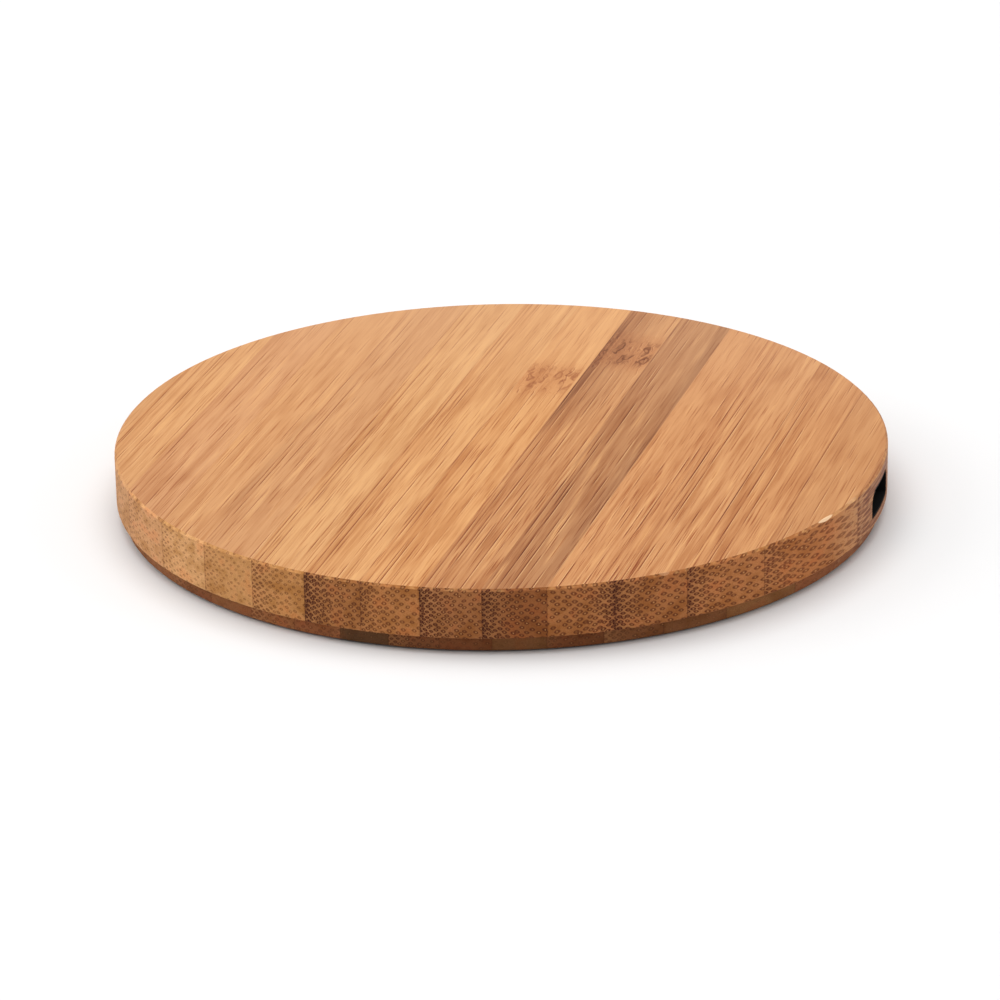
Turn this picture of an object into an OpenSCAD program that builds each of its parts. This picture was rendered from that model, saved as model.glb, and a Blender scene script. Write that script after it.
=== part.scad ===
// Round wireless charging pad: a pocketed bamboo body closed by a thinner bamboo base plate.
// +Z is up, the origin is the centre of the footprint, and the power socket faces +X.
// All sizes are in millimetres.

/* [Case] */
// Diameter of the wooden body
body_d = 92; // [90:0.5:100]
// Height of the wooden body
body_t = 6; // [6:0.1:8]
// Edge break around the top face
top_chamfer = 0.25; // [0.1:0.05:0.6]
// Edge break around the body's lower rim
rim_chamfer = 0.12; // [0.05:0.01:0.3]
// Diameter of the pocket milled into the body from below
pocket_d = 85; // [84:0.5:86]
// Thickness of wood left over the coil
skin_t = 1.4; // [1:0.1:1.4]
// Diameter of the base plate
base_d = 90.3; // [88:0.1:90.5]
// Thickness of the base plate
base_t = 1.8; // [1.8:0.1:2.5]
// Edge break around the base plate
base_chamfer = 0.15; // [0.05:0.05:0.4]

/* [Anti-slip ring] */
// Mean radius of the silicone ring under the base plate
foot_r = 37.5; // [36.5:0.5:38]
// Radial width of the silicone ring
foot_w = 5; // [4.6:0.2:6]
// Thickness of the silicone ring
foot_t = 0.8; // [0.6:0.1:0.8]
// How far the ring stands proud of the base plate
foot_proud = 0.2; // [0.1:0.05:0.3]

/* [Port] */
// Width of the opening in the body's side
port_w = 8.9; // [8.7:0.1:10]
// Height of the opening in the body's side
port_h = 3.5; // [3.4:0.05:3.6]
// Height of the opening's centre above the table
port_z = 4.75; // [4.7:0.05:4.8]
// Radius of the opening's upper corners
port_top_r = 1.7; // [0.8:0.05:1.75]
// Radius of the opening's lower corners
port_low_r = 0.5; // [0.5:0.05:0.8]
// Wall of the plastic liner in the opening
liner_t = 0.3; // [0.25:0.05:0.35]
// Depth of the liner's outer end below the body's side
liner_recess = 0.05; // [0.05:0.05:0.3]

/* [Power socket] */
// Width of the socket's steel shell
socket_w = 7.4; // [7:0.1:7.5]
// Height of the socket's steel shell
socket_h = 2.4; // [2.3:0.05:2.45]
// Length of the socket's steel shell
socket_len = 5.4; // [5:0.1:5.6]
// Sheet thickness of the shell
socket_t = 0.25; // [0.2:0.05:0.3]
// Depth of the socket's mouth below the body's side
socket_recess = 1.2; // [1:0.1:1.4]

/* [Charging coil] */
// Diameter of the coil's stranded wire
wire_d = 1; // [0.8:0.05:1]
// Distance between neighbouring turns
coil_pitch = 1.05; // [1.02:0.01:1.06]
// Radius of the innermost turn
coil_r0 = 10.5; // [10:0.1:10.6]
// Number of turns
coil_turns = 10; // [8:1:10]
// Bend radius where a lead turns towards the circuit board
lead_bend = 0.6; // [0.55:0.05:0.65]
// Thickness of the adhesive film over the coil
film_t = 0.15; // [0.1:0.05:0.15]
// Diameter of the ferrite shield
ferrite_d = 50; // [48:0.5:50]
// Thickness of the ferrite shield
ferrite_t = 0.7; // [0.6:0.05:0.8]

/* [Circuit board] */
// Thickness of the circuit board
board_t = 1; // [0.8:0.1:1]
// Width of the circuit board along Y
board_w = 47; // [47:0.5:48]
// Radius of the board's hollowed inner edge, which clears the coil
board_inner_r = 26.2; // [25.8:0.1:26.4]
// Gap between the board's outer edge and the pocket wall
board_gap = 0.5; // [0.3:0.05:0.6]

/* [Fasteners] */
// Distance of the case screws from the centre
case_screw_r = 37.5; // [37:0.25:37.75]
// Angle of the case screws from the X axis
case_screw_angle = 60; // [55:1:65]
// Shank diameter of the case screws
case_shank_d = 1.9; // [1.6:0.1:2]
// Head diameter of the case screws
case_head_d = 3.8; // [3.4:0.1:4]
// Shank diameter of the board screws
board_shank_d = 1.4; // [1.2:0.1:1.6]
// Head diameter of the board screws
board_head_d = 2.8; // [2.4:0.1:3]

/* [Hidden] */
$fn = 96;

// A small overshoot, so that a cut goes right through its face
eps = 0.5;

// Heights above the table, from the bottom up
base_z = foot_proud;
body_z = base_z + base_t;
top_z = body_z + body_t;
pocket_z = top_z - skin_t;
socket_z = port_z - socket_h / 2;
board_z = socket_z - board_t;
coil_z = pocket_z - film_t - wire_d / 2;
ferrite_z = coil_z - wire_d / 2 - ferrite_t;

body_r = body_d / 2;
pocket_r = pocket_d / 2;
base_r = base_d / 2;
board_r = pocket_r - board_gap;
foot_clearance = 0.1;

// Socket, from its mouth inwards
socket_x1 = body_r - socket_recess;
socket_x0 = socket_x1 - socket_len;
socket_chamfer = 0.8;
socket_bend = 0.3;
insulator_len = 1.6;
tongue_w = 4.4;
tongue_t = 0.6;
tongue_setback = 0.5;
contact_w = 0.35;
contact_t = 0.15;
contact_pitch = 0.65;
contact_count = 5;
contact_tail = 0.9;
flange_x = socket_x0 + 0.3;
flange_w = 1.6;
flange_reach = 0.8;

// Coil leads: the inner one passes under the turns, the outer one runs level with them
lead_z = coil_z - 2 * lead_bend;
lead_pad_x = 29.5;
lead_slot_w = wire_d + 0.4;
coil_r1 = coil_r0 + coil_turns * coil_pitch;
outer_bend = 1.2;
foam_r0 = 8;
foam_r1 = 22;
adhesive_r0 = 9.5;
adhesive_r1 = 23;

// Wooden bosses left standing in the pocket
case_boss_d = 7;
board_boss_d = 5;
board_screw_at = [31.5, 19.5];
screw_bite = 3.6;
board_screw_bite = 2.2;
case_head_t = 1;
board_head_t = 0.5;
recess_w = 0.5;
recess_depth = 0.35;
recess_share = 0.55;

// Components, each size as [along X, along Y, height]
controller_size = [5, 5, 0.9];
controller_at = [33.6, 8.5];
driver_size = [5, 5.2, 1];
driver_at = [[31.5, -6.5], [31.5, -13.2]];
regulator_size = [2.9, 1.6, 1.1];
regulator_at = [34.6, 14];
crystal_size = [3.2, 2.5, 0.8];
crystal_at = [37.9, 10.6];
inductor_size = [4, 4, 2];
inductor_at = [36.8, -11.5];
resonant_size = [2.5, 3.2, 1.8];
resonant_at = [28.9, 4.4];
resonant_step = 3.6;
resonant_count = 4;
input_size = [3.2, 1.6, 1.6];
input_at = [[36.4, -6.9], [38.4, 6.6]];
sense_size = [3.2, 1.6, 0.6];
sense_at = [35.6, -16.8];
chip_capacitor_size = [1.6, 0.8, 0.8];
chip_capacitor_at = [
    [32.2, 4.4], [34.6, 4.4], [32.4, 12.3], [33, -2.2], [35.4, -2.2], [36.2, -4.4]
];
chip_resistor_size = [1.6, 0.8, 0.45];
chip_resistor_at = [
    [32.2, 2.6], [34.6, 2.6], [33, 0.2], [35.4, 0.2], [32.2, 16], [36.6, 16]
];
// Share of a chip part's length taken by each end cap, and how far the ceramic sits inside the caps
cap_share = 0.22;
cap_inset = 0.04;
// Lid edge break and pin-one dimple of a moulded chip
lid_break = 0.15;
dimple_d = 0.5;
dimple_depth = 0.08;
// Lid of the crystal's can, and how much of its height the base takes
lid_inset = 0.25;
can_base_share = 0.45;
// Drum of the power inductor, seen as a ring-shaped gap in its top
drum_share = 0.36;
drum_gap = 0.25;
drum_depth = 0.4;
// Gull-wing leads of the regulator
regulator_lead = [0.4, 0.55, 0.2];
regulator_lead_pitch = 0.95;

bamboo = [0.82, 0.6, 0.39];
dark_bamboo = [0.48, 0.29, 0.17];
steel = [0.7, 0.71, 0.73];
black = [0.05, 0.05, 0.06];
ceramic_tan = [0.66, 0.53, 0.4];

// Disc with a chamfer at its upper and its lower edge, standing on z = 0
module chamfered_disc(r, t, low, high) {
    rotate_extrude()
        polygon([[0, 0], [r - low, 0], [r, low], [r, t - high], [r - high, t], [0, t]]);
}

module ring(r_in, r_out, t) {
    difference() {
        cylinder(r = r_out, h = t);
        translate([0, 0, -eps]) cylinder(r = r_in, h = t + 2 * eps);
    }
}

// Box centred on X and Y, standing on z = 0
module standing_box(size) {
    translate([-size[0] / 2, -size[1] / 2, 0]) cube(size);
}

// Children at the four case screws
module at_case_screws() {
    for (sx = [-1, 1], sy = [-1, 1])
        translate([sx * case_screw_r * cos(case_screw_angle), sy * case_screw_r * sin(case_screw_angle), 0])
            children();
}

// Children at the two board screws
module at_board_screws() {
    for (sy = [-1, 1])
        translate([board_screw_at[0], sy * board_screw_at[1], 0]) children();
}

// Rounded opening outline, wider radii above, in the XY plane and centred on the origin
module port_outline(w, h, top_r, low_r) {
    difference() {
        translate([-w / 2, -h / 2]) square([w, h]);
        for (side = [0, 1]) mirror([side, 0]) {
            corner_waste(w / 2, h / 2, top_r);
            mirror([0, 1]) corner_waste(w / 2, h / 2, low_r);
        }
    }
}

// What a round corner of radius r leaves of its square, at the corner (x, y)
module corner_waste(x, y, r) {
    difference() {
        translate([x - r, y - r]) square([r + eps, r + eps]);
        translate([x - r, y - r]) circle(r = r);
    }
}

// Outline drawn in XY stands in the plane across X at x0, and is extruded towards +X
module along_x(x0, len, z) {
    translate([x0, 0, z]) rotate([90, 0, 90]) linear_extrude(height = len) children();
}

// Shell outline, its sheet bent at 45 degrees: wide cuts at the lower corners, small ones above
module socket_outline(inset) {
    w = socket_w / 2 - inset;
    h = socket_h / 2 - inset;
    low = socket_chamfer - inset * (2 - sqrt(2));
    high = socket_bend - inset * (2 - sqrt(2));
    polygon([
        [-w + low, -h], [w - low, -h], [w, -h + low], [w, h - high],
        [w - high, h], [-w + high, h], [-w, h - high], [-w, -h + low]
    ]);
}

// Quarter bend of wire: starts at the origin along +X and ends along -Z, bend radius r
module wire_bend(r) {
    translate([0, 0, -r]) rotate([90, 0, 0])
        rotate_extrude(angle = 90) translate([r, 0]) circle(d = wire_d);
}

// Straight wire from the origin along +X
module wire_run(len) {
    rotate([0, 90, 0]) cylinder(d = wire_d, h = len);
}

module top_body() color(bamboo) {
    difference() {
        translate([0, 0, body_z]) chamfered_disc(body_r, body_t, rim_chamfer, top_chamfer);
        difference() {
            translate([0, 0, body_z - eps]) cylinder(d = pocket_d, h = pocket_z - body_z + eps);
            at_case_screws() translate([0, 0, body_z - 2 * eps]) cylinder(d = case_boss_d, h = body_t);
            at_board_screws() translate([0, 0, socket_z]) cylinder(d = board_boss_d, h = body_t);
        }
        along_x(board_r - eps, body_r - board_r + 2 * eps, port_z)
            port_outline(port_w, port_h, port_top_r, port_low_r);
        at_case_screws() translate([0, 0, body_z - eps]) cylinder(d = case_shank_d, h = screw_bite + eps);
        at_board_screws() translate([0, 0, socket_z - eps])
            cylinder(d = board_shank_d, h = board_screw_bite + eps);
    }
}

module base_plate() color(dark_bamboo) {
    difference() {
        translate([0, 0, base_z]) chamfered_disc(base_r, base_t, base_chamfer, base_chamfer);
        translate([0, 0, base_z - eps])
            ring(foot_r - foot_w / 2 - foot_clearance, foot_r + foot_w / 2 + foot_clearance,
                foot_t - foot_proud + eps);
        at_case_screws() case_screw_solid(eps);
    }
}

module foot_ring() color([0.12, 0.12, 0.13]) {
    ring(foot_r - foot_w / 2, foot_r + foot_w / 2, foot_t);
}

// Countersunk screw pointing up from the floor of the ring's groove; extra lengthens the shank
module case_screw_solid(extra) {
    translate([0, 0, foot_t]) cylinder(d1 = case_head_d, d2 = case_shank_d, h = case_head_t);
    translate([0, 0, foot_t + case_head_t])
        cylinder(d = case_shank_d, h = body_z + screw_bite - foot_t - case_head_t + extra);
}

// Two crossed slots of a screw's drive, cut upwards from z = 0 into a head of diameter d
module cross_recess(d) {
    across = d * recess_share;
    for (turn = [0, 90]) rotate([0, 0, turn])
        translate([-across / 2, -recess_w / 2, -eps]) cube([across, recess_w, recess_depth + eps]);
}

module case_screws() color(steel) {
    at_case_screws() difference() {
        case_screw_solid(0);
        translate([0, 0, foot_t]) cross_recess(case_head_d);
    }
}

module board_screws() color(steel) {
    at_board_screws() difference() {
        union() {
            translate([0, 0, board_z - board_head_t]) cylinder(d = board_head_d, h = board_head_t);
            translate([0, 0, board_z]) cylinder(d = board_shank_d, h = board_t + board_screw_bite);
        }
        translate([0, 0, board_z - board_head_t]) cross_recess(board_head_d);
    }
}

module port_liner() color(black) {
    intersection() {
        along_x(board_r, body_r - board_r, port_z) difference() {
            port_outline(port_w, port_h, port_top_r, port_low_r);
            port_outline(port_w - 2 * liner_t, port_h - 2 * liner_t,
                port_top_r - liner_t, port_low_r - liner_t / 2);
        }
        cylinder(r = body_r - liner_recess, h = top_z);
    }
}

module usb_shell() color(steel) {
    along_x(socket_x0, socket_len, port_z) difference() {
        socket_outline(0);
        socket_outline(socket_t);
    }
    for (side = [0, 1]) mirror([0, side, 0])
        translate([flange_x, socket_w / 2 - socket_chamfer, socket_z])
            cube([flange_w, socket_chamfer + flange_reach, socket_t]);
}

module usb_insulator() color(black) {
    along_x(socket_x0, insulator_len, port_z) socket_outline(socket_t);
    translate([socket_x0 + insulator_len, -tongue_w / 2, port_z])
        cube([socket_len - insulator_len - tongue_setback, tongue_w, tongue_t]);
}

// Contact blades under the tongue, and their tails on the board behind the shell
module usb_contacts() color([0.83, 0.68, 0.35]) {
    blade_x = socket_x0 + insulator_len;
    for (i = [0 : contact_count - 1]) {
        y = (i - (contact_count - 1) / 2) * contact_pitch - contact_w / 2;
        translate([blade_x, y, port_z - contact_t])
            cube([socket_len - insulator_len - 2 * tongue_setback, contact_w, contact_t]);
        translate([socket_x0 - contact_tail, y, socket_z])
            cube([contact_tail, contact_w, socket_t + contact_t]);
    }
}

module circuit_board() color([0.1, 0.3, 0.16]) {
    translate([0, 0, board_z]) difference() {
        intersection() {
            cylinder(r = board_r, h = board_t);
            translate([board_inner_r / 2, -board_w / 2, 0]) cube([body_r, board_w, board_t]);
        }
        translate([0, 0, -eps]) cylinder(r = board_inner_r, h = board_t + 2 * eps);
        at_board_screws() translate([0, 0, -eps]) cylinder(d = board_shank_d, h = board_t + 2 * eps);
    }
}

// Moulded package with a chamfered lid and a pin-one dimple
module chip_package(size) {
    difference() {
        standing_box(size);
        translate([-size[0] / 2 + dimple_d, -size[1] / 2 + dimple_d, size[2] - dimple_depth])
            cylinder(d = dimple_d, h = eps);
        for (turn = [0, 180]) rotate([0, 0, turn])
            translate([size[0] / 2, 0, size[2]]) rotate([0, 45, 0])
                cube([lid_break, size[1] + eps, lid_break], center = true);
    }
}

module controller_chip() color(black) {
    translate([controller_at[0], controller_at[1], socket_z]) chip_package(controller_size);
}

module driver_chips() color(black) {
    for (p = driver_at) translate([p[0], p[1], socket_z]) chip_package(driver_size);
}

module regulator_chip() color(black) {
    translate([regulator_at[0], regulator_at[1], socket_z]) {
        chip_package(regulator_size);
        for (i = [-1, 0, 1], side = [-1, 1])
            translate([i * regulator_lead_pitch, side * (regulator_size[1] + regulator_lead[1]) / 2, 0])
                standing_box(regulator_lead);
    }
}

module crystal() color(steel) {
    translate([crystal_at[0], crystal_at[1], socket_z]) {
        standing_box([crystal_size[0], crystal_size[1], crystal_size[2] * can_base_share]);
        standing_box([crystal_size[0] - 2 * lid_inset, crystal_size[1] - 2 * lid_inset, crystal_size[2]]);
    }
}

// Shielded inductor: a square ferrite block with a round drum showing in its top
module power_inductor() color([0.2, 0.2, 0.21]) {
    drum_r = inductor_size[0] * drum_share;
    translate([inductor_at[0], inductor_at[1], socket_z]) difference() {
        standing_box(inductor_size);
        translate([0, 0, inductor_size[2] - drum_depth])
            ring(drum_r, drum_r + drum_gap, drum_depth + eps);
    }
}

// Ceramic block between two end caps, its long side along X
module chip_part(size) {
    cap = size[0] * cap_share;
    for (side = [-1, 1])
        translate([side * (size[0] - cap) / 2, 0, 0]) standing_box([cap, size[1], size[2]]);
    translate([0, 0, cap_inset])
        standing_box([size[0] - 2 * cap, size[1] - 2 * cap_inset, size[2] - 2 * cap_inset]);
}

module resonant_capacitors() color(ceramic_tan) {
    for (i = [0 : resonant_count - 1])
        translate([resonant_at[0], resonant_at[1] + i * resonant_step, socket_z]) rotate([0, 0, 90])
            chip_part([resonant_size[1], resonant_size[0], resonant_size[2]]);
}

module input_capacitors() color(ceramic_tan) {
    for (p = input_at) translate([p[0], p[1], socket_z]) chip_part(input_size);
}

module chip_capacitors() color(ceramic_tan) {
    for (p = chip_capacitor_at) translate([p[0], p[1], socket_z]) chip_part(chip_capacitor_size);
}

module chip_resistors() color(black) {
    for (p = chip_resistor_at) translate([p[0], p[1], socket_z]) chip_part(chip_resistor_size);
}

module sense_resistor() color(black) {
    translate([sense_at[0], sense_at[1], socket_z]) chip_part(sense_size);
}

// Flat spiral of half turns: the centre of each half alternates by half a pitch
module coil_winding() color([0.72, 0.4, 0.22]) {
    translate([0, 0, coil_z]) for (k = [0 : 2 * coil_turns - 1]) {
        lower = k % 2;
        translate([lower * coil_pitch / 2, 0, 0]) rotate([0, 0, lower * 180])
            rotate_extrude(angle = 180) translate([coil_r0 + k * coil_pitch / 2, 0]) circle(d = wire_d);
    }
}

// From the innermost turn down through the shield's slot and under the turns to the board
module inner_lead() color([0.72, 0.4, 0.22]) {
    run = lead_pad_x - 2 * lead_bend - coil_r0;
    translate([coil_r0, 0, coil_z]) rotate([0, 0, -90]) wire_bend(lead_bend);
    translate([coil_r0 + lead_bend, -lead_bend, lead_z]) {
        rotate([0, 180, 0]) wire_bend(lead_bend);
        wire_run(run);
        translate([run, 0, 0]) lead_end(lead_z);
    }
}

// From the end of a level run down to the board, starting at the origin at height z
module lead_end(z) {
    wire_bend(lead_bend);
    drop = z - lead_bend - socket_z;
    translate([lead_bend, 0, -lead_bend - drop]) cylinder(d = wire_d, h = drop);
}

// From the outermost turn, level with the coil, to the board
module outer_lead() color([0.72, 0.4, 0.22]) {
    run = lead_pad_x - lead_bend - coil_r1 - outer_bend;
    translate([coil_r1 + outer_bend, 0, coil_z]) {
        rotate([0, 0, 90]) rotate_extrude(angle = 90) translate([outer_bend, 0]) circle(d = wire_d);
        translate([0, outer_bend, 0]) {
            wire_run(run);
            translate([run, 0, 0]) lead_end(coil_z);
        }
    }
}

module ferrite_shield() color([0.16, 0.16, 0.17]) {
    difference() {
        translate([0, 0, ferrite_z]) cylinder(d = ferrite_d, h = ferrite_t);
        translate([coil_r0 - lead_slot_w / 2, -lead_bend - lead_slot_w / 2, ferrite_z - eps])
            cube([ferrite_d, lead_slot_w, ferrite_t + 2 * eps]);
    }
}

module coil_adhesive() color([0.85, 0.83, 0.75]) {
    translate([0, 0, coil_z + wire_d / 2]) ring(adhesive_r0, adhesive_r1, film_t);
}

module foam_support() color([0.25, 0.25, 0.26]) {
    difference() {
        translate([0, 0, body_z]) ring(foam_r0, foam_r1, ferrite_z - body_z);
        translate([0, -lead_bend - lead_slot_w / 2, lead_z - lead_slot_w / 2])
            cube([ferrite_d, lead_slot_w, ferrite_t + lead_slot_w]);
    }
}

top_body();
base_plate();
foot_ring();
case_screws();
port_liner();
usb_shell();
usb_insulator();
usb_contacts();
circuit_board();
board_screws();
controller_chip();
driver_chips();
regulator_chip();
crystal();
power_inductor();
resonant_capacitors();
input_capacitors();
chip_capacitors();
chip_resistors();
sense_resistor();
coil_winding();
inner_lead();
outer_lead();
ferrite_shield();
coil_adhesive();
foam_support();
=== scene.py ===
"""Looks of the bamboo wireless charging pad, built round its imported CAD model. Metres throughout."""

import math

import bpy
from mathutils import Matrix, Vector


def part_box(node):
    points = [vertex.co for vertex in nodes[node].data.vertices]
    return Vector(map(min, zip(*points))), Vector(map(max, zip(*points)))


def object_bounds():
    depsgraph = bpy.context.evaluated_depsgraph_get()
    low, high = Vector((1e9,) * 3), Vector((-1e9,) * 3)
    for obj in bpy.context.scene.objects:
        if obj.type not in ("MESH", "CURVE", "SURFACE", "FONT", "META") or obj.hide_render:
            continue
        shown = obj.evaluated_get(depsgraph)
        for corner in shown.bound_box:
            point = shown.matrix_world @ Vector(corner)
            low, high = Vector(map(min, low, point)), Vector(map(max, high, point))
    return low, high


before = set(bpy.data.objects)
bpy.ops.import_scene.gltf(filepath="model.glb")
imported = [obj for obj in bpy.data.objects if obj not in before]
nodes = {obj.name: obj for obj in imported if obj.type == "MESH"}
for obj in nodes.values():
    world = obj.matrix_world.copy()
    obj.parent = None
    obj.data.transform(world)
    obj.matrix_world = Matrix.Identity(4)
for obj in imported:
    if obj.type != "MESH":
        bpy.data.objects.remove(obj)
cad_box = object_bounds()

# The camera: seen from the front, a little round towards the socket, and well above the table
CAMERA_AZIMUTH = 14.95
CAMERA_ELEVATION = 22.36
CAMERA_ROLL = -1.016
CAMERA_DISTANCE = 0.6026
CAMERA_LENS = 181.1
SENSOR_WIDTH = 36.0
CAMERA_SHIFT = (-0.0021, -0.0016)

MM = 0.001
BODY_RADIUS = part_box("top_body")[1][0] / MM
BODY_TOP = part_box("top_body")[1][2] / MM

# Bamboo: the strips run almost along Y, and a strip's bundles stand TIGHT mm apart at its dense side,
# OPENING mm more for each mm away from it, in diamonds that are DIAMOND squared times as wide as tall
GRAIN_TURN = math.radians(1.75)
TIGHT = 0.46
OPENING = 0.05
DIAMOND = 1.08
# A bundle cut square across, in mm: half its width and height, and the reach and place of its pale core
EYE_HALF_WIDTH = 0.29
EYE_HALF_HEIGHT = 0.235
EYE_CORE = 0.105
EYE_CORE_OFFSET = 0.02
# A bundle cut lengthwise, in mm: the reach of its groove, and the reach and place of the burr beside it.
# LINE_STRETCH below 1 lets a bundle show as a line from further under the face
GROOVE_REACH = 0.115
BURR_REACH = 0.095
BURR_OFFSET = 0.14
LINE_STRETCH = 0.42
# Loops where a joint of the cane crossed a strip, in mm across it and along it
LOOP_WIDTH = 1.15
LOOP_LENGTH = 4.4
# A strip's habit travels through a colour ramp, so its millimetres are divided by this on the way
HABIT_SCALE = 8


def srgb(red, green, blue):
    """Linear RGBA of a colour given in 8-bit sRGB."""
    def linear(value):
        value /= 255
        return value / 12.92 if value <= 0.04045 else ((value + 0.055) / 1.055) ** 2.4
    return (linear(red), linear(green), linear(blue), 1.0)


# ---------------------------------------------------------------- node-graph helpers


class Field:
    """A number at every point of a surface: a node socket that takes arithmetic."""

    def __init__(self, tree, socket):
        self.tree = tree
        self.socket = socket

    def math(self, operation, *others):
        """This number and the others through one Math node."""
        step = self.tree.nodes.new("ShaderNodeMath")
        step.operation = operation
        for slot, value in zip(step.inputs, (self, *others)):
            plug(self.tree, slot, value)
        return Field(self.tree, step.outputs[0])

    def __add__(self, other):
        return self.math("ADD", other)

    def __sub__(self, other):
        return self.math("SUBTRACT", other)

    def __mul__(self, other):
        return self.math("MULTIPLY", other)

    def __truediv__(self, other):
        return self.math("DIVIDE", other)

    def __rsub__(self, other):
        return (self * -1) + other

    def smooth(self, low, high):
        """0 below low and 1 above high, eased between them; low may be the larger of the two."""
        step = self.tree.nodes.new("ShaderNodeMapRange")
        step.interpolation_type = "SMOOTHSTEP"
        plug(self.tree, step.inputs["Value"], self)
        if low < high:
            ends = (low, high, 0, 1)
        else:
            ends = (high, low, 1, 0)
        for name, value in zip(("From Min", "From Max", "To Min", "To Max"), ends):
            step.inputs[name].default_value = value
        return Field(self.tree, step.outputs["Result"])


def plug(tree, slot, value):
    """Links a Field or socket to slot, or sets slot to a plain value."""
    if isinstance(value, Field):
        tree.links.new(value.socket, slot)
    elif isinstance(value, bpy.types.NodeSocket):
        tree.links.new(value, slot)
    else:
        slot.default_value = value


def vector(tree, x, y, z=0.0):
    """A vector socket from three numbers."""
    step = tree.nodes.new("ShaderNodeCombineXYZ")
    for slot, value in zip(step.inputs, (x, y, z)):
        plug(tree, slot, value)
    return step.outputs[0]


def parts_of(tree, socket):
    """The three numbers of a vector or colour socket."""
    step = tree.nodes.new("ShaderNodeSeparateXYZ")
    tree.links.new(socket, step.inputs[0])
    return [Field(tree, out) for out in step.outputs]


def noise(tree, where, detail, roughness=0.5):
    """Smooth noise from 0 to 1 at a position given in units of the noise's own size."""
    step = tree.nodes.new("ShaderNodeTexNoise")
    tree.links.new(where, step.inputs["Vector"])
    step.inputs["Scale"].default_value = 1.0
    step.inputs["Detail"].default_value = detail
    step.inputs["Roughness"].default_value = roughness
    return Field(tree, step.outputs["Fac"])


def cells(tree, where, randomness):
    """Flat Voronoi node, whose cells are 1 apart in the first two numbers of where."""
    step = tree.nodes.new("ShaderNodeTexVoronoi")
    step.voronoi_dimensions = "2D"
    step.inputs["Scale"].default_value = 1.0
    step.inputs["Randomness"].default_value = randomness
    tree.links.new(where, step.inputs["Vector"])
    return step


def blend(tree, factor, low, high, mode="MIX"):
    """Colour that goes from low to high as factor goes from 0 to 1."""
    step = tree.nodes.new("ShaderNodeMix")
    step.data_type = "RGBA"
    step.blend_type = mode
    plug(tree, step.inputs["Factor"], factor)
    colour_slots = [s for s in step.inputs if s.type == "RGBA"]
    plug(tree, colour_slots[0], low)
    plug(tree, colour_slots[1], high)
    return [s for s in step.outputs if s.type == "RGBA"][0]


def steps(tree, where, colours):
    """Colour number n of the list while where, from 0 to 1, is in the nth of its equal parts."""
    step = tree.nodes.new("ShaderNodeValToRGB")
    plug(tree, step.inputs[0], where)
    ramp = step.color_ramp
    ramp.interpolation = "CONSTANT"
    ramp.elements[0].position = 0
    ramp.elements[0].color = colours[0]
    ramp.elements[1].position = 1 / len(colours)
    ramp.elements[1].color = colours[1]
    for n, colour in enumerate(colours[2:], 2):
        ramp.elements.new(n / len(colours)).color = colour
    return step.outputs["Color"]


def darkened(colour, factor):
    """A colour with its red, green and blue multiplied by factor."""
    return tuple(c * factor for c in colour[:3]) + (1,)


def new_material(name):
    """An empty material with its surface shader and output, as (material, tree, shader)."""
    material = bpy.data.materials.new(name)
    material.use_nodes = True
    tree = material.node_tree
    tree.nodes.clear()
    output = tree.nodes.new("ShaderNodeOutputMaterial")
    shader = tree.nodes.new("ShaderNodeBsdfPrincipled")
    tree.links.new(shader.outputs[0], output.inputs["Surface"])
    return material, tree, shader


def millimetres(tree):
    """The object's own x, y and z in millimetres."""
    step = tree.nodes.new("ShaderNodeTexCoord")
    return [axis * (1 / MM) for axis in parts_of(tree, step.outputs["Object"])]


def bump(tree, shader, height, depth_mm, strength=0.5):
    """Raises the surface by height times depth."""
    step = tree.nodes.new("ShaderNodeBump")
    step.inputs["Strength"].default_value = strength
    step.inputs["Distance"].default_value = depth_mm * MM
    plug(tree, step.inputs["Height"], height)
    tree.links.new(step.outputs[0], shader.inputs["Normal"])


# ---------------------------------------------------------------- bamboo


class Board:
    """A board of glued bamboo strips: where each strip lies and how it looks.

    Each strip has a face tone, an end-grain tone and a habit: how far its dense side lies outside it in
    millimetres, how dark its bundles are, whether the dense side is on the right, and its bundles' size.
    """

    def __init__(self, strip_width, first_edge, middle, strips):
        self.strip_width = strip_width
        self.first_edge = first_edge
        self.middle = middle
        self.face_tones = [srgb(*face) for face, end, habit in strips]
        self.end_tones = [srgb(*end) for face, end, habit in strips]
        self.habits = [(skip / HABIT_SCALE, *others) for face, end, (skip, *others) in strips]


def strip_coordinates(tree, board):
    """Position within the board's strips, as a dictionary of Fields in millimetres."""
    x, y, z = millimetres(tree)
    turn_cos, turn_sin = math.cos(GRAIN_TURN), math.sin(GRAIN_TURN)
    across = x * turn_cos - y * turn_sin
    along = x * turn_sin + y * turn_cos
    place = (across - board.first_edge) / board.strip_width
    strip = place.math("FLOOR")
    pick = (strip + 0.5) / len(board.face_tones)
    habit = steps(tree, pick, board.habits)
    skip, dark, right = parts_of(tree, habit)
    size = Field(tree, habit.node.outputs["Alpha"])
    from_left = place.math("FRACT") * board.strip_width
    from_right = board.strip_width - from_left
    depth = from_left + (from_right - from_left) * right
    return {
        "x": x, "y": y, "z": z, "reach": (x * x + y * y).math("SQRT"),
        "across": across, "along": along, "strip": strip, "pick": pick,
        "skip": skip * HABIT_SCALE, "dark": dark, "size": size, "depth": depth,
        "glue": from_left.math("MINIMUM", from_right),
    }


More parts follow.
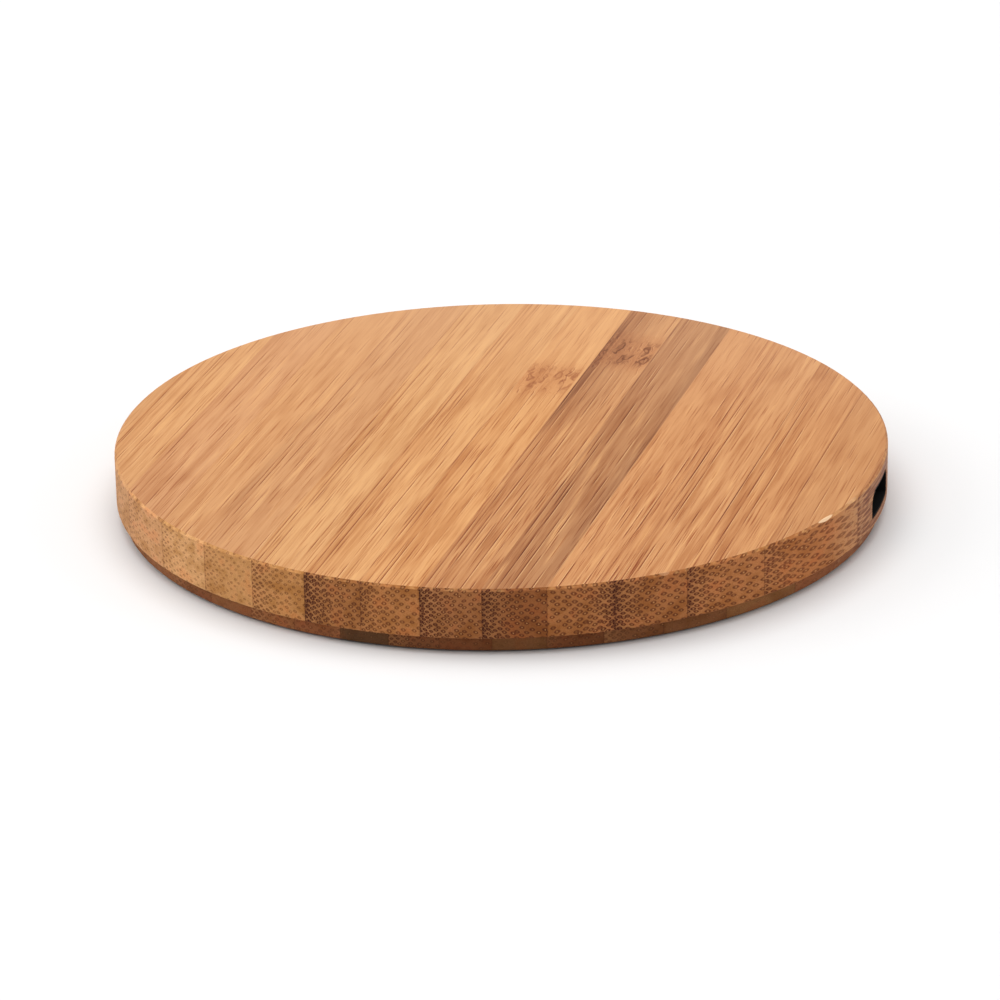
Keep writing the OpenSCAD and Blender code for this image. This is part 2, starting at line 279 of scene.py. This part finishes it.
def wander(tree, at, board, swirl):
    """Adds the fibres' own side and up, which drift along the strip and swirl round the cane's joints."""
    across, along, strip = at["across"], at["along"], at["strip"]
    slow = noise(tree, vector(tree, strip * 7.7 + 3, along * 0.009, strip * 5.1), 0.0)
    local = noise(tree, vector(tree, across * 0.3, along * 0.035, strip * 3.7), 1.0)
    bend = noise(tree, vector(tree, strip * 9.1, along * 0.016, 4.0), 1.0)
    up = at["z"] - board.middle + (slow - 0.5) * 2.4 + (local - 0.5) * 0.5
    side = at["depth"] + at["skip"] + (bend - 0.5) * 0.5
    if swirl is not None:
        twist = noise(tree, vector(tree, across * 0.5, along * 0.4, 1.0), 1.0)
        rise = noise(tree, vector(tree, across * 0.6, along * 0.5, 8.0), 1.0)
        side = side + (twist - 0.5) * swirl * 1.6
        up = up + (rise - 0.5) * swirl * 2.6
    at["side"] = side
    at["up"] = up


def bundles(tree, at):
    """Vascular bundles in a diamond lattice that opens out away from the strip's dense side.

    Returns the offset from the nearest bundle's middle, across and up in millimetres, and two chances
    from 0 to 1 that are the bundle's own.
    """
    growth = (at["side"] * (OPENING / TIGHT) + 1).math("MAXIMUM", 0.3)
    spacing = growth * TIGHT
    column = growth.math("LOGARITHM", math.e) / OPENING / DIAMOND
    row = at["up"] / spacing * DIAMOND
    diagonal = math.sqrt(0.5)
    seed = at["strip"] * 13.37
    a = (column + row) * diagonal + seed
    b = (column - row) * diagonal - seed
    cell = cells(tree, vector(tree, a, b), randomness=0.36)
    middle_a, middle_b, _ = parts_of(tree, cell.outputs["Position"])
    chance, second_chance, _ = parts_of(tree, cell.outputs["Color"])
    off_a, off_b = a - middle_a, b - middle_b
    off_across = (off_a + off_b) * spacing * (diagonal * DIAMOND)
    off_up = (off_a - off_b) * spacing * (diagonal / DIAMOND)
    return off_across, off_up, chance, second_chance


def eye_shape(off_across, off_up, size):
    """Dark sheath of a bundle cut square across, its pale core and its darker left and right caps."""
    wide = off_across.math("ABSOLUTE") / EYE_HALF_WIDTH
    tall = off_up.math("ABSOLUTE") / EYE_HALF_HEIGHT
    round_far = (wide * wide + tall * tall).math("SQRT")
    far = (round_far * 0.55 + (wide + tall) * 0.4) / size
    sheath = far.smooth(1.22, 0.78)
    beside = off_across - EYE_CORE_OFFSET
    core = (beside * beside + off_up * off_up).math("SQRT").smooth(EYE_CORE, 0.03)
    caps = wide.smooth(0.1, 0.75)
    return sheath, core, caps


def thin_lines(tree, at, off_across, off_up, chances, groups):
    """Bundles cut lengthwise: thin dark grooves in pieces, and the raised burr beside each, whose mask
    also carries a painted highlight.
    """
    chance, second_chance = chances
    rise = off_up * LINE_STRETCH
    pieces = noise(tree, vector(tree, chance * 60, at["along"] * 0.13, second_chance * 60), 1.0)
    keep = (chance + groups).smooth(0.6, 1.15) * (pieces.smooth(0.38, 0.58) * 0.85 + 0.15)
    groove = (off_across * off_across + rise * rise).math("SQRT").smooth(GROOVE_REACH, 0.04)
    beside = off_across - BURR_OFFSET
    burr_and_highlight = (beside * beside + rise * rise).math("SQRT").smooth(BURR_REACH, 0.03)
    return groove * keep, burr_and_highlight * keep


def knuckle(tree, at, mark):
    """One mark where a joint of the cane crossed the strip: how near it is, its loops and its spots."""
    middle_across, middle_along, reach, seed = mark
    across, along = at["across"], at["along"]
    inside = (across - middle_across).math("ABSOLUTE").smooth(3.5, 3.1)
    crest = noise(tree, vector(tree, across * 0.45, seed, 0.0), 2.0)
    rise = along - middle_along - (crest - 0.5) * 6
    near = (rise * rise).smooth(reach * reach, 0.3) * inside
    warp = noise(tree, vector(tree, across * 0.9, along * 0.5, seed), 1.0)
    loop_across = across / LOOP_WIDTH + warp * 1.1 + seed
    cell = cells(tree, vector(tree, loop_across, rise / LOOP_LENGTH + warp), randomness=0.85)
    far = Field(tree, cell.outputs["Distance"])
    patchy = noise(tree, vector(tree, across * 0.7, along * 0.2, seed + 5), 1.0).smooth(0.36, 0.56)
    band = rise.math("ABSOLUTE").smooth(5.4, 2.0) * inside * patchy
    loops = (far - 0.3).math("ABSOLUTE").smooth(0.16, 0.03) * band
    return near, loops, far.smooth(0.26, 0.1) * band


def grain_cut(tree, at):
    """How the surface cuts the bundles and fibres, as a dictionary of Fields from 0 to 1."""
    across, along = at["across"], at["along"]
    facing = tree.nodes.new("ShaderNodeNewGeometry")
    nx, ny, nz = parts_of(tree, facing.outputs["Normal"])
    end_on = (nx * math.sin(GRAIN_TURN) + ny * math.cos(GRAIN_TURN)).math("ABSOLUTE")
    facing_side = 1 - nz.math("ABSOLUTE")

    off_across, off_up, chance, second_chance = bundles(tree, at)
    crowd = at["side"].smooth(4.2, 0.2)
    size = (second_chance * 0.2 + 0.9 - crowd * 0.12) * at["size"]
    sheath, core, caps = eye_shape(off_across, off_up, size)

    # The grain is clearest at the front and right of the middle, and fades to the back and both sides
    clear = along.smooth(48, -22) * 0.45 + 0.55
    clear = clear * (across.smooth(-28, 25) * 0.4 + 0.85) * (across.smooth(44, 30) * 0.4 + 0.6)
    groups = noise(tree, vector(tree, across * 0.5, along * 0.075, at["strip"]), 2.0)
    rim = at["reach"].smooth(BODY_RADIUS - 2.6, BODY_RADIUS - 0.4)
    lift = (groups - 0.5) * 2.2 + crowd * 0.4 + rim * 0.35 + at["dark"] * 0.3
    lift = lift + facing_side * 0.5 + along.smooth(15, -40) * 0.25
    groove, burr_and_highlight = thin_lines(tree, at, off_across, off_up, (chance, second_chance), lift)

    fibre = noise(tree, vector(tree, at["side"] * 6, along * 0.12, at["up"] * 6), 2.0, 0.6)
    layer = at["z"] * 4 + at["strip"] * 2.3
    dash = noise(tree, vector(tree, across * 7.5, along * 0.1, layer), 1.0)
    return {
        "nz": nz, "end_face": end_on.smooth(0.14, 0.4), "facing_side": facing_side,
        "groove": groove * clear, "burr_and_highlight": burr_and_highlight * clear, "sheath": sheath, "core": core, "caps": caps,
        "crowd": crowd, "chance": chance, "clear": clear, "fibre": fibre,
        "dash": (dash + facing_side * 0.06).smooth(0.62, 0.7),
    }


def face_colour(tree, at, board, marks, cut):
    """Long grain: soft bands, fine fibres, thin grooves with pale burrs lightened by a painted highlight,
    and the cane's joints.
    """
    across, along, strip = at["across"], at["along"], at["strip"]
    clear, crowd, sheath, facing_side = cut["clear"], cut["crowd"], cut["sheath"], cut["facing_side"]
    bands = noise(tree, vector(tree, across * 1.1, along * 0.05, strip * 3.1), 2.0, 0.6)
    cloud = noise(tree, vector(tree, across * 0.28, along * 0.08, strip * 9.0), 2.0)
    fibre = cut["fibre"].smooth(0.5, 0.75)
    groove = cut["groove"] * (1 - facing_side)
    dashes = sheath * facing_side * at["dark"]
    front_left_painted_shade = along.smooth(-5, -45) * across.smooth(-8, -40)

    colour = steps(tree, at["pick"], board.face_tones)
    colour = blend(tree, bands.smooth(0.42, 0.72) * clear, colour, srgb(232, 218, 204), "MULTIPLY")
    colour = blend(tree, bands.smooth(0.45, 0.25) * clear * 0.4, colour, srgb(222, 170, 112))
    colour = blend(tree, cloud.smooth(0.5, 0.8) * 0.8, colour, srgb(236, 224, 214), "MULTIPLY")
    colour = blend(tree, crowd * 0.25, colour, srgb(233, 216, 200), "MULTIPLY")
    colour = blend(tree, sheath * crowd * 0.35, colour, srgb(214, 180, 150), "MULTIPLY")
    colour = blend(tree, fibre * clear * 0.5, colour, srgb(218, 190, 165), "MULTIPLY")
    colour = blend(tree, cut["dash"] * clear * 0.75, colour, srgb(196, 150, 112), "MULTIPLY")
    colour = blend(tree, groove * 0.78, colour, srgb(176, 124, 88), "MULTIPLY")
    colour = blend(tree, dashes * 0.8, colour, srgb(158, 106, 74), "MULTIPLY")
    # Pale fibre of the burrs, lightened further as a painted highlight
    colour = blend(tree, cut["burr_and_highlight"] * 0.35, colour, srgb(238, 190, 134))
    # Painted sheen: the top turns paler and greyer towards its back
    colour = blend(tree, along.smooth(0, 46) * 0.12, colour, srgb(216, 180, 148))
    # Painted shade: the front left of the top is darkened a little
    colour = blend(tree, front_left_painted_shade * 0.35, colour, srgb(222, 218, 220), "MULTIPLY")
    for near, loops, spots, tint, strength in marks:
        colour = blend(tree, near * 0.5 * strength, colour, srgb(226, 196, 178), "MULTIPLY")
        colour = blend(tree, loops * strength, colour, tint, "MULTIPLY")
        colour = blend(tree, spots * 0.4 * strength, colour, tint, "MULTIPLY")
    return colour


def stain(tree, at, colour, mark):
    """Darkens a streaky band that starts sharply at a glue line and dies away across the strip."""
    glue_line, width, start, stop, strength = mark
    across, along = at["across"], at["along"]
    from_edge = (across - glue_line) * math.copysign(1, width)
    streak = from_edge.smooth(0.0, 0.08) * from_edge.smooth(abs(width), 0.1)
    length = along.smooth(start - 9, start + 9) * along.smooth(stop + 3, stop - 3)
    lines = noise(tree, vector(tree, across * 2.5, along * 0.05, 1.0), 1.0).smooth(0.3, 0.6)
    factor = streak * length * (lines * 0.6 + 0.4) * strength
    return blend(tree, factor, colour, srgb(150, 112, 108), "MULTIPLY")


def end_colour(tree, at, board, cut):
    """End grain: dark eye-shaped bundles in a paler ground that is a fine mesh where they crowd."""
    dark, crowd = at["dark"], cut["crowd"]
    grit = noise(tree, vector(tree, at["x"] * 7, at["y"] * 7, at["z"] * 7), 2.0)
    blotch = noise(tree, vector(tree, at["across"] * 0.5, at["along"] * 0.1, at["z"] * 0.5), 2.0)
    ink = cut["sheath"] * dark * (crowd * 0.35 + 0.72) * (cut["caps"] * 0.35 + 0.65)
    pith = cut["core"] * (cut["chance"] * 0.9 + 0.05 - crowd * 0.5) * dark
    dense_edge = at["depth"].smooth(0.9, 0.0) * dark.smooth(0.9, 1.0)

    colour = steps(tree, at["pick"], board.end_tones)
    colour = blend(tree, blotch.smooth(0.4, 0.7), colour, srgb(226, 214, 190), "MULTIPLY")
    colour = blend(tree, blotch.smooth(0.5, 0.3) * 0.6, colour, srgb(255, 228, 212), "MULTIPLY")
    colour = blend(tree, crowd * 0.4, colour, srgb(182, 130, 84))
    colour = blend(tree, grit.smooth(0.35, 0.7) * 0.5, colour, srgb(208, 188, 172), "MULTIPLY")
    colour = blend(tree, ink, colour, srgb(104, 36, 10), "MULTIPLY")
    colour = blend(tree, pith, colour, srgb(200, 142, 88))
    colour = blend(tree, dense_edge * 0.4, colour, srgb(160, 134, 136), "MULTIPLY")
    glue = at["glue"].smooth(0.09, 0.03)
    return blend(tree, glue * 0.35, colour, srgb(160, 126, 106), "MULTIPLY")


def rim_painted_highlight(tree, at, colour, nz):
    """Patches of painted highlight on the round of the upper edge, where it catches the light."""
    highlight_patches = noise(tree, vector(tree, at["x"] * 0.9, at["y"] * 0.9, at["z"]), 2.0).smooth(0.5, 0.7)
    on_the_round = nz.smooth(0.97, 0.85) * nz.smooth(0.3, 0.5)
    return blend(tree, on_the_round * highlight_patches * 0.28, colour, srgb(230, 174, 108))


def splinter(tree, at, colour, mark):
    """A slim pale lens where a splinter has come off the body's upper edge."""
    angle, half, strength = mark
    turn = math.radians(angle)
    outward = at["x"] * math.cos(turn) + at["y"] * math.sin(turn)
    sideways = at["y"] * math.cos(turn) - at["x"] * math.sin(turn)
    ragged = noise(tree, vector(tree, at["x"] * 2.5, at["y"] * 2.5, 0.0), 2.0)
    slim = sideways * sideways * (0.24 / half ** 2) + ragged * 0.06
    on_top = (at["reach"] - slim).smooth(BODY_RADIUS - 0.44, BODY_RADIUS - 0.36)
    on_side = (at["z"] - slim).smooth(BODY_TOP - 0.3, BODY_TOP - 0.24)
    length = sideways.math("ABSOLUTE").smooth(half, half * 0.7) * outward.smooth(0, 10)
    return blend(tree, on_top * on_side * length * strength, colour, srgb(240, 206, 166))


def bamboo(name, board, knuckles=(), stains=(), splinters=()):
    """Solid bamboo board: the same bundles show as lines on the faces and as eyes on the end grain."""
    material, tree, shader = new_material(name)
    at = strip_coordinates(tree, board)
    marks, swirl = [], None
    for place, tint, strength in knuckles:
        near, loops, spots = knuckle(tree, at, place)
        marks.append((near, loops, spots, tint, strength))
        swirl = near if swirl is None else swirl + near
    wander(tree, at, board, swirl)
    cut = grain_cut(tree, at)
    end_face, fibre = cut["end_face"], cut["fibre"]

    face = face_colour(tree, at, board, marks, cut)
    for mark in stains:
        face = stain(tree, at, face, mark)
    colour = blend(tree, end_face, face, end_colour(tree, at, board, cut))
    # Painted highlight in patches on the round of the upper edge
    colour = rim_painted_highlight(tree, at, colour, cut["nz"])
    for mark in splinters:
        colour = splinter(tree, at, colour, mark)
    plug(tree, shader.inputs["Base Color"], colour)
    plug(tree, shader.inputs["Roughness"], fibre * 0.16 + end_face * 0.2 + 0.46)
    shader.inputs["Specular IOR Level"].default_value = 0.15

    lines = (cut["burr_and_highlight"] - cut["groove"]) * (1 - end_face) * (1 - cut["facing_side"])
    pits = (cut["sheath"] * -0.25 + cut["core"] * -0.3) * end_face
    height = pits + lines + fibre * 0.25 - at["glue"].smooth(0.08, 0.02) * 0.4
    bump(tree, shader, height, 0.045, 0.6)
    return material


# Strips from left to right as (face, end grain, (dense side outside by mm, bundles' darkness,
# dense on the right, bundles' size))
BODY_STRIPS = (
    ((194, 142, 94), (212, 164, 118), (1.0, 0.7, 0, 0.6)),
    ((201, 149, 99), (202, 152, 106), (0.5, 0.8, 0, 0.65)),
    ((195, 142, 97), (208, 156, 108), (1.0, 0.8, 0, 0.6)),
    ((196, 143, 95), (216, 165, 112), (1.5, 0.8, 0, 0.62)),
    ((192, 140, 94), (202, 149, 94), (1.6, 0.8, 0, 0.65)),
    ((202, 151, 100), (196, 140, 84), (0.6, 0.9, 0, 0.8)),
    ((202, 149, 97), (174, 116, 68), (0.0, 1.0, 0, 1.0)),
    ((202, 147, 94), (186, 125, 73), (1.8, 0.95, 0, 1.0)),
    ((187, 133, 86), (168, 110, 66), (0.0, 1.0, 0, 0.95)),
    ((172, 121, 79), (150, 92, 50), (0.2, 1.0, 0, 0.95)),
    ((192, 136, 88), (175, 114, 66), (1.0, 1.0, 1, 1.05)),
    ((192, 137, 89), (173, 112, 65), (0.8, 1.0, 0, 1.0)),
    ((188, 132, 84), (183, 120, 71), (1.2, 1.0, 0, 1.0)),
    ((186, 132, 85), (184, 118, 68), (1.6, 0.9, 0, 1.05)),
    ((182, 130, 86), (183, 126, 79), (0.5, 0.9, 0, 1.0)),
)
PLATE_STRIPS = tuple((dark, dark, habit) for dark, habit in (
    ((170, 118, 78), (2.0, 0.5, 0, 0.8)), ((160, 107, 69), (1.0, 0.6, 0, 0.8)),
    ((150, 98, 60), (2.5, 0.4, 1, 0.8)), ((138, 86, 52), (1.0, 0.6, 0, 0.8)),
    ((150, 98, 60), (4.0, 0.3, 0, 0.8)), ((166, 108, 66), (0.5, 0.7, 0, 0.9)),
    ((158, 99, 61), (2.0, 0.6, 1, 0.9)), ((102, 70, 43), (3.0, 0.3, 0, 0.8)),
    ((134, 84, 50), (0.5, 0.8, 0, 0.9)), ((131, 79, 45), (4.0, 0.4, 0, 0.9)),
    ((130, 86, 50), (6.0, 0.2, 1, 0.8)), ((125, 75, 42), (2.0, 0.5, 0, 0.9)),
    ((138, 89, 54), (1.0, 0.6, 0, 0.9)), ((134, 87, 52), (5.0, 0.3, 1, 0.8)),
    ((146, 100, 60), (6.0, 0.2, 0, 0.8)), ((148, 92, 56), (3.0, 0.4, 0, 0.8)),
))
BODY_BOARD = Board(strip_width=6.89, first_edge=-51.19, middle=5.0, strips=BODY_STRIPS)
PLATE_BOARD = Board(strip_width=5.8, first_edge=-46.4, middle=1.0, strips=PLATE_STRIPS)

# Knuckles as ((across, along, reach, seed), tint, strength)
KNUCKLES = (
    ((0.2, 20.0, 7.0, 2.0), srgb(176, 128, 100), 0.6),
    ((7.4, 31.0, 8.0, 7.0), srgb(150, 114, 102), 0.85),
)
# Stains as (glue line, width, from, to, strength), where a width below 0 runs to the left
STAINS = (
    (3.93, 1.3, 6.0, 40.0, 0.6),
    (3.93, 6.85, 6.0, 46.0, 0.42),
    (17.7, -2.6, -38.0, 46.0, 0.3),
    (-23.6, -1.6, -30.0, 2.0, 0.3),
)
# Splinters off the rim as (angle in degrees, half length, strength)
SPLINTERS = ((-21.4, 1.8, 0.75), (-13.5, 1.5, 0.15), (-52.0, 0.8, 0.15))


# ---------------------------------------------------------------- plainer materials


# How much dust adds to the paler patches of a moulded surface, in linear light
DUST = 0.004


def moulded(name, colour, roughness, grain_mm, bump_mm, variation=0.12, specular=0.5):
    """Moulded, pressed or sintered material with a fine grain, faint clouding and dust."""
    material, tree, shader = new_material(name)
    x, y, z = millimetres(tree)
    grain = noise(tree, vector(tree, x / grain_mm, y / grain_mm, z / grain_mm), 2.0)
    cloud = noise(tree, vector(tree, x * 0.3, y * 0.3, z * 0.3), 2.0)
    darker = darkened(colour, 1 - variation)
    lighter = tuple(c * (1 + variation) + DUST for c in colour[:3]) + (1,)
    plug(tree, shader.inputs["Base Color"], blend(tree, grain * 0.5 + cloud * 0.5, darker, lighter))
    plug(tree, shader.inputs["Roughness"], (cloud - 0.5) * 0.2 + grain * 0.08 + roughness)
    shader.inputs["Specular IOR Level"].default_value = specular
    bump(tree, shader, grain, bump_mm)
    return material


def brushed(name, colour, roughness, along=(1, 0, 0)):
    """Drawn or brushed metal with fine lines along one axis."""
    material, tree, shader = new_material(name)
    place = millimetres(tree)
    stretched = [p * (0.6 if drawn else 14.0) for p, drawn in zip(place, along)]
    lines = noise(tree, vector(tree, *stretched), 3.0, 0.6)
    plug(tree, shader.inputs["Base Color"], blend(tree, lines, darkened(colour, 0.8), colour))
    plug(tree, shader.inputs["Roughness"], lines * 0.25 + roughness)
    shader.inputs["Metallic"].default_value = 1.0
    bump(tree, shader, lines, 0.004)
    return material


def laminate(name):
    """Circuit board: green mask over patches of copper, with the glass weave faint under it."""
    material, tree, shader = new_material(name)
    x, y, z = millimetres(tree)
    weave = (x * 6).math("SINE") * (y * 6).math("SINE")
    cell = cells(tree, vector(tree, x * 0.8, y * 0.8), randomness=0.8)
    cell.distance = "CHEBYCHEV"
    copper = Field(tree, cell.outputs["Distance"]).smooth(0.34, 0.38)
    colour = blend(tree, copper, (0.02, 0.13, 0.05, 1), (0.035, 0.2, 0.075, 1))
    colour = blend(tree, weave * 0.08 + 0.08, colour, (0.05, 0.24, 0.1, 1))
    plug(tree, shader.inputs["Base Color"], colour)
    plug(tree, shader.inputs["Roughness"], weave * 0.03 + 0.32)
    bump(tree, shader, copper + weave * 0.1, 0.02)
    return material


def ceramic(name, colour):
    """Finely speckled fired ceramic of the chip parts."""
    material, tree, shader = new_material(name)
    x, y, z = millimetres(tree)
    grain = noise(tree, vector(tree, x * 5, y * 5, z * 5), 2.0)
    plug(tree, shader.inputs["Base Color"], blend(tree, grain, darkened(colour, 0.8), colour))
    plug(tree, shader.inputs["Roughness"], grain * 0.15 + 0.35)
    bump(tree, shader, grain, 0.008)
    return material


def stranded(name):
    """Enamelled copper strands twisted round each other."""
    material, tree, shader = new_material(name)
    x, y, z = millimetres(tree)
    angle = y.math("ARCTAN2", x)
    radius = (x * x + y * y).math("SQRT")
    twist = (angle * 70 + radius * 9 + z * 14).math("SINE")
    tint = noise(tree, vector(tree, x * 2, y * 2, z * 2), 2.0)
    colour = blend(tree, twist * 0.5 + 0.5, srgb(120, 54, 24), srgb(214, 128, 74))
    colour = blend(tree, tint * 0.3, colour, srgb(160, 70, 30))
    plug(tree, shader.inputs["Base Color"], colour)
    plug(tree, shader.inputs["Roughness"], twist * 0.08 + 0.36)
    shader.inputs["Metallic"].default_value = 0.7
    bump(tree, shader, twist, 0.04, 0.7)
    return material


def dress(node, material):
    """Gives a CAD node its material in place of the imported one."""
    if not nodes[node].material_slots:
        nodes[node].data.materials.append(material)
    for slot in nodes[node].material_slots:
        slot.material = material


# Each material and the CAD nodes that it is for
LOOKS = {
    ("top_body",): bamboo("bamboo", BODY_BOARD, KNUCKLES, STAINS, SPLINTERS),
    ("base_plate",): bamboo("dark_bamboo", PLATE_BOARD),
    ("foot_ring",): moulded("silicone", (0.012, 0.012, 0.013, 1), 0.7, 0.3, 0.02),
    ("case_screws", "board_screws"): brushed("zinc_steel", (0.7, 0.71, 0.73, 1), 0.25),
    ("port_liner", "usb_insulator"):
        moulded("black_plastic", (0.003, 0.0024, 0.0024, 1), 0.8, 0.15, 0.01, specular=0.1),
    ("usb_shell",): brushed("shell_metal", (0.03, 0.03, 0.032, 1), 0.4),
    ("usb_contacts",): brushed("gold_plating", (0.83, 0.6, 0.25, 1), 0.2),
    ("circuit_board",): laminate("board_laminate"),
    ("controller_chip", "driver_chips", "regulator_chip"):
        moulded("chip_resin", (0.02, 0.02, 0.022, 1), 0.6, 0.08, 0.006),
    ("crystal",): brushed("can_metal", (0.72, 0.7, 0.66, 1), 0.3, (0, 1, 0)),
    ("power_inductor",): moulded("ferrite_block", (0.05, 0.05, 0.055, 1), 0.75, 0.12, 0.015),
    ("resonant_capacitors", "input_capacitors", "chip_capacitors"):
        ceramic("capacitor_ceramic", (0.42, 0.28, 0.17, 1)),
    ("chip_resistors", "sense_resistor"): ceramic("resistor_ceramic", (0.03, 0.03, 0.032, 1)),
    ("coil_winding", "inner_lead", "outer_lead"): stranded("litz_copper"),
    ("ferrite_shield",): moulded("ferrite_sheet", (0.04, 0.04, 0.043, 1), 0.6, 0.2, 0.01),
    ("coil_adhesive",): moulded("adhesive_film", (0.6, 0.57, 0.48, 1), 0.4, 0.5, 0.005),
    ("foam_support",): moulded("grey_foam", (0.05, 0.05, 0.055, 1), 0.9, 0.25, 0.08, 0.4),
}
for names, material in LOOKS.items():
    for node in names:
        dress(node, material)


# ---------------------------------------------------------------- camera, floor and light

FLOOR_HALF = 3.0
FLOOR_COLOUR = (0.738, 0.734, 0.735, 1)
SURROUND_STRENGTH = 0.5
# Name, place, width in metres and power in watts
LIGHTS = (
    ("overhead", (-0.1, 0.05, 1.1), 1.3, 13.0),
    ("left", (-1.0, -0.1, 0.5), 0.7, 4.0),
    ("right", (1.0, 0.1, 0.45), 0.6, 2.0),
)


def place_camera():
    """Camera on the origin at the set angle, rolled about its own axis."""
    data = bpy.data.cameras.new("camera")
    data.lens = CAMERA_LENS
    data.sensor_width = SENSOR_WIDTH
    data.shift_x, data.shift_y = CAMERA_SHIFT
    data.clip_start = 0.01
    data.clip_end = 50
    camera = bpy.data.objects.new("camera", data)
    azimuth, elevation = math.radians(CAMERA_AZIMUTH), math.radians(CAMERA_ELEVATION)
    level = math.cos(elevation)
    towards = Vector((level * math.sin(azimuth), -level * math.cos(azimuth), math.sin(elevation)))
    aim = towards.to_track_quat("Z", "Y").to_matrix().to_4x4()
    roll = Matrix.Rotation(math.radians(CAMERA_ROLL), 4, "Z")
    camera.matrix_world = Matrix.Translation(towards * CAMERA_DISTANCE) @ aim @ roll
    bpy.context.scene.collection.objects.link(camera)
    bpy.context.scene.camera = camera


def lay_floor():
    """Plain pale floor at the foot of the object."""
    mesh = bpy.data.meshes.new("floor")
    half, low = FLOOR_HALF, cad_box[0][2]
    corners = [(-half, -half, low), (half, -half, low), (half, half, low), (-half, half, low)]
    mesh.from_pydata(corners, [], [(0, 1, 2, 3)])
    floor = bpy.data.objects.new("floor", mesh)
    material, tree, shader = new_material("floor")
    shader.inputs["Base Color"].default_value = FLOOR_COLOUR
    shader.inputs["Roughness"].default_value = 0.9
    shader.inputs["Specular IOR Level"].default_value = 0.1
    mesh.materials.append(material)
    bpy.context.scene.collection.objects.link(floor)


def add_light(name, place, size, power):
    """Square area light at place, facing the origin."""
    data = bpy.data.lights.new(name, "AREA")
    data.size = size
    data.energy = power
    light = bpy.data.objects.new(name, data)
    light.location = place
    light.rotation_euler = Vector(place).to_track_quat("Z", "Y").to_euler()
    bpy.context.scene.collection.objects.link(light)


def light_surroundings():
    """Even white light from all round."""
    world = bpy.data.worlds.new("studio")
    bpy.context.scene.world = world
    world.use_nodes = True
    background = world.node_tree.nodes["Background"]
    background.inputs["Color"].default_value = (1, 1, 1, 1)
    background.inputs["Strength"].default_value = SURROUND_STRENGTH


place_camera()
lay_floor()
for light in LIGHTS:
    add_light(*light)
light_surroundings()
bpy.context.scene.view_settings.view_transform = "Standard"
